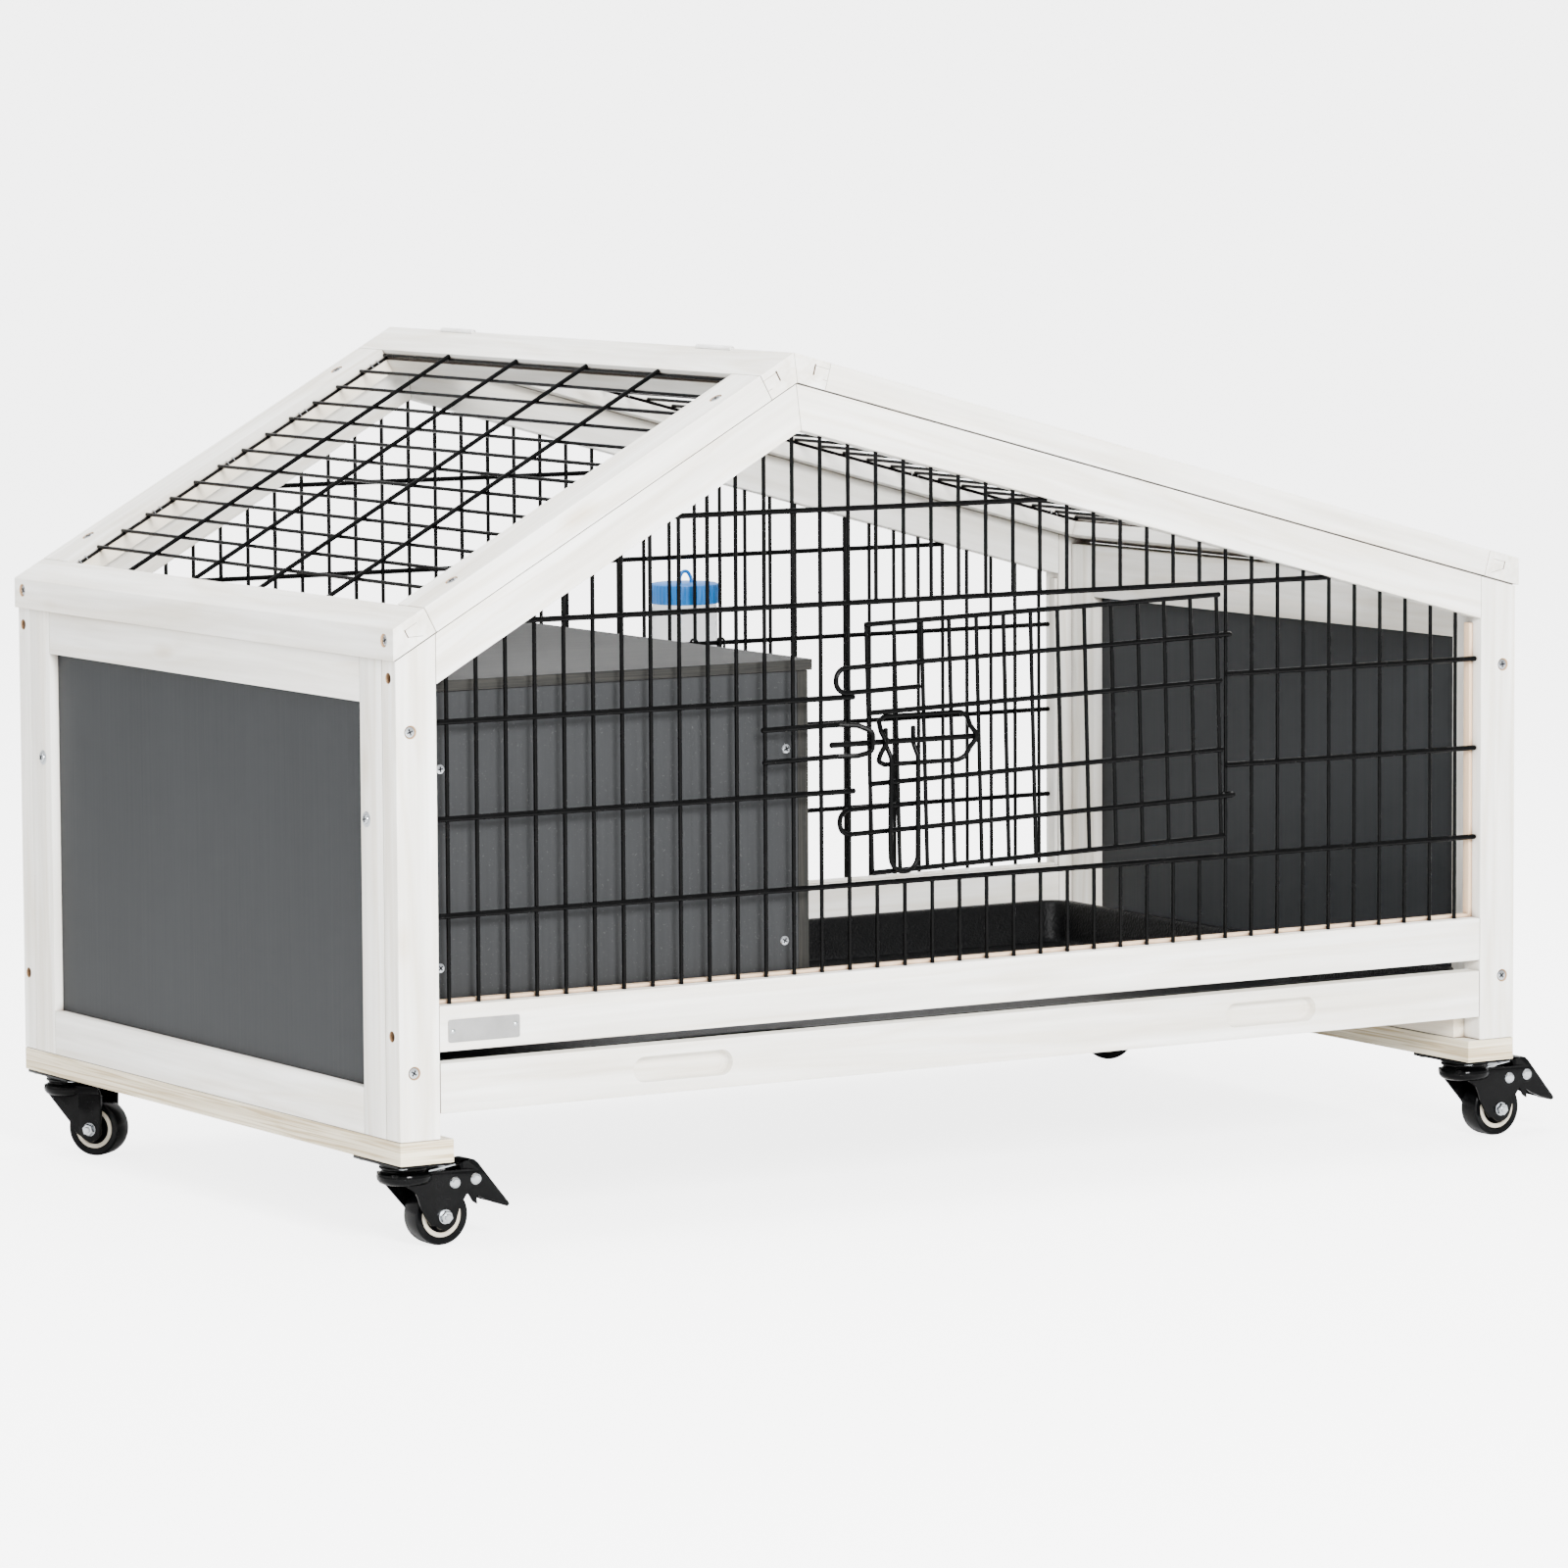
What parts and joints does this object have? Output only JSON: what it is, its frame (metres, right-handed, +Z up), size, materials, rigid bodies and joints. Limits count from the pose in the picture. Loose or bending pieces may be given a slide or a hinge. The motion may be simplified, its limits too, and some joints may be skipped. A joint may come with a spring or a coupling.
{
  "type": "rabbit hutch",
  "caption": "Indoor gabled timber rabbit hutch with wire walls, lifting mesh roof, wire door with bolt latch, hide box, slide-out tray, hanging bottle and braked casters.",
  "frame": {"origin": "centre of the whole bounding box in X and Y, on the floor under the wheels", "axes": "+X to the right along the length, seen from the front; +Y towards the back, so the wire door and the tray face -Y; +Z up"},
  "size_m": [1.0608, 0.6776, 0.641],
  "materials": {
    "painted_wood": "white paint, faint grain",
    "raw_wood": "bare planed softwood and ply",
    "grey_ply": "dark grey stained ply, satin",
    "stained_ply": "thin grey stained ply, flat",
    "black_wire": "gloss black coated wire",
    "black_steel": "gloss black pressed steel",
    "bright_steel": "plated",
    "tray_plastic": "black, fine pebble texture",
    "wheel_plastic": "hard black tread",
    "clear_plastic": "milky translucent",
    "blue_plastic": "satin"
  },
  "bodies": {
    "hutch": {"front_left_post": "painted_wood", "front_right_post": "painted_wood", "front_left_gable_rail": "painted_wood", "front_right_gable_rail": "painted_wood", "front_bottom_rail": "painted_wood", "rear_left_post": "painted_wood", "rear_right_post": "painted_wood", "rear_left_gable_rail": "painted_wood", "rear_right_gable_rail": "painted_wood", "rear_bottom_rail": "painted_wood", "left_side_frame": "painted_wood", "left_side_panel": "grey_ply", "left_base_board": "raw_wood", "left_tray_runner": "raw_wood", "right_side_frame": "painted_wood", "right_side_panel": "grey_ply", "right_base_board": "raw_wood", "right_tray_runner": "raw_wood", "front_wire_wall": "black_wire", "rear_wire_wall": "black_wire", "left_roof_eave_rail": "painted_wood", "left_roof_ridge_rail": "painted_wood", "left_roof_front_rafter": "painted_wood", "left_roof_rear_rafter": "painted_wood", "left_roof_mesh": "black_wire", "front_hinge_fixed_leaf": "bright_steel", "rear_hinge_fixed_leaf": "bright_steel", "hide_front_panel": "stained_ply", "hide_rear_panel": "stained_ply", "hide_divider": "stained_ply", "hide_top_board": "stained_ply", "bottle_body": "clear_plastic", "bottle_cap": "blue_plastic", "bottle_spout": "bright_steel", "front_left_caster_plate": "black_steel", "front_right_caster_plate": "black_steel", "rear_left_caster_plate": "black_steel", "rear_right_caster_plate": "black_steel"},
    "lid": {"right_roof_eave_rail": "painted_wood", "right_roof_ridge_rail": "painted_wood", "right_roof_front_rafter": "painted_wood", "right_roof_rear_rafter": "painted_wood", "right_roof_mesh": "black_wire", "front_hinge_moving_leaf": "bright_steel", "rear_hinge_moving_leaf": "bright_steel"},
    "door": {"door_mesh": "black_wire"},
    "bolt": {"latch_bolt": "black_steel"},
    "handle": {"latch_handle": "black_steel"},
    "drawer": {"tray": "tray_plastic", "drawer_front": "painted_wood"},
    "front_left_fork": {"front_left_caster_fork": "black_steel"},
    "front_left_wheel": {"front_left_caster_wheel": "wheel_plastic"},
    "front_left_lever": {"front_left_brake_lever": "black_steel"},
    "front_right_fork": {"front_right_caster_fork": "black_steel"},
    "front_right_wheel": {"front_right_caster_wheel": "wheel_plastic"},
    "front_right_lever": {"front_right_brake_lever": "black_steel"},
    "rear_left_fork": {"rear_left_caster_fork": "black_steel"},
    "rear_left_wheel": {"rear_left_caster_wheel": "wheel_plastic"},
    "rear_right_fork": {"rear_right_caster_fork": "black_steel"},
    "rear_right_wheel": {"rear_right_caster_wheel": "wheel_plastic"}
  },
  "joints": [
    {"name": "lid_hinge", "type": "hinge", "parent": "hutch", "child": "lid", "pos_m": [-0.19324, -0.0267, 0.63884], "axis": [0, -1, 0], "range_deg": [0, 110]},
    {"name": "door_hinge", "type": "hinge", "parent": "hutch", "child": "door", "pos_m": [0.20049, -0.3237, 0.351], "axis": [0, 0, 1], "range_deg": [0, 120]},
    {"name": "bolt_slide", "type": "slide", "parent": "door", "child": "bolt", "axis": [1, 0, 0], "range_m": [0, 0.04]},
    {"name": "handle_swing", "type": "hinge", "parent": "bolt", "child": "handle", "pos_m": [-0.0923, -0.3334, 0.3482], "axis": [-1, 0, 0], "range_deg": [0, 100]},
    {"name": "drawer_slide", "type": "slide", "parent": "hutch", "child": "drawer", "axis": [0, -1, 0], "range_m": [0, 0.5]},
    {"name": "front_left_swivel", "type": "hinge", "parent": "hutch", "child": "front_left_fork", "pos_m": [-0.50605, -0.2977, 0.06], "axis": [0, 0, 1], "continuous": true},
    {"name": "front_left_spin", "type": "hinge", "parent": "front_left_fork", "child": "front_left_wheel", "pos_m": [-0.48105, -0.2977, 0.022], "axis": [0, 1, 0], "continuous": true},
    {"name": "front_left_brake", "type": "hinge", "parent": "front_left_fork", "child": "front_left_lever", "pos_m": [-0.45535, -0.2977, 0.0476], "axis": [0, 1, 0], "range_deg": [0, 14]},
    {"name": "front_right_swivel", "type": "hinge", "parent": "hutch", "child": "front_right_fork", "pos_m": [0.44995, -0.2977, 0.06], "axis": [0, 0, 1], "continuous": true},
    {"name": "front_right_spin", "type": "hinge", "parent": "front_right_fork", "child": "front_right_wheel", "pos_m": [0.47495, -0.2977, 0.022], "axis": [0, 1, 0], "continuous": true},
    {"name": "front_right_brake", "type": "hinge", "parent": "front_right_fork", "child": "front_right_lever", "pos_m": [0.50065, -0.2977, 0.0476], "axis": [0, 1, 0], "range_deg": [0, 14]},
    {"name": "rear_left_swivel", "type": "hinge", "parent": "hutch", "child": "rear_left_fork", "pos_m": [-0.50605, 0.2443, 0.06], "axis": [0, 0, 1], "continuous": true},
    {"name": "rear_left_spin", "type": "hinge", "parent": "rear_left_fork", "child": "rear_left_wheel", "pos_m": [-0.49171, 0.22382, 0.022], "axis": [0.8192, 0.5736, 0], "continuous": true},
    {"name": "rear_right_swivel", "type": "hinge", "parent": "hutch", "child": "rear_right_fork", "pos_m": [0.44995, 0.2443, 0.06], "axis": [0, 0, 1], "continuous": true},
    {"name": "rear_right_spin", "type": "hinge", "parent": "rear_right_fork", "child": "rear_right_wheel", "pos_m": [0.46965, 0.22891, 0.022], "axis": [0.6157, 0.788, 0], "continuous": true}
  ]
}
